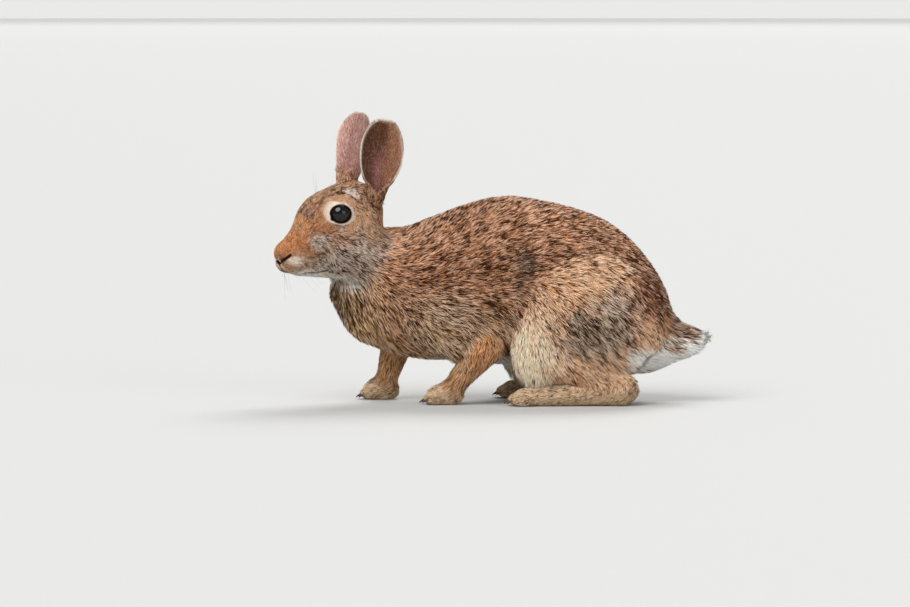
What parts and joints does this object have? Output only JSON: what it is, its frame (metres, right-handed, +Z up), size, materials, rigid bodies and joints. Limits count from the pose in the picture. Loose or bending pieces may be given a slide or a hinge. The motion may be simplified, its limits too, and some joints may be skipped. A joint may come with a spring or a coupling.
{
  "type": "eastern cottontail rabbit model",
  "caption": "Life-size still model of a wild cottontail rabbit in a low alert crouch, ears up, head turned slightly, standing on flat-soled feet.",
  "frame": {"origin": "middle of the animal's footprint box, at floor level", "axes": "+X towards the tail, the rabbit's left side faces -Y, +Z up from the floor"},
  "size_m": [0.3212, 0.0984, 0.2156],
  "materials": {
    "coat": "dense soft fur, grizzled: dark underfur, buff band and black tips, rusty at the nape and legs",
    "pale_coat": "soft pale fur, white under the tail and buff on the feet",
    "ear": "thin pinkish skin with short sparse hair and a pale fringe",
    "eye": "wet, glossy, very dark brown",
    "claw": "smooth dark horn"
  },
  "bodies": {
    "root": {"head": "coat", "neck": "coat", "trunk": "coat", "tail": "pale_coat", "ear_left": "ear", "ear_right": "ear", "eye_left": "eye", "eye_right": "eye", "shoulder_left": "coat", "shoulder_right": "coat", "forearm_left": "coat", "forearm_right": "coat", "forepaw_left": "pale_coat", "forepaw_right": "pale_coat", "thigh_left": "coat", "thigh_right": "coat", "hind_foot_left": "pale_coat", "hind_foot_right": "pale_coat"}
  },
  "joints": []
}
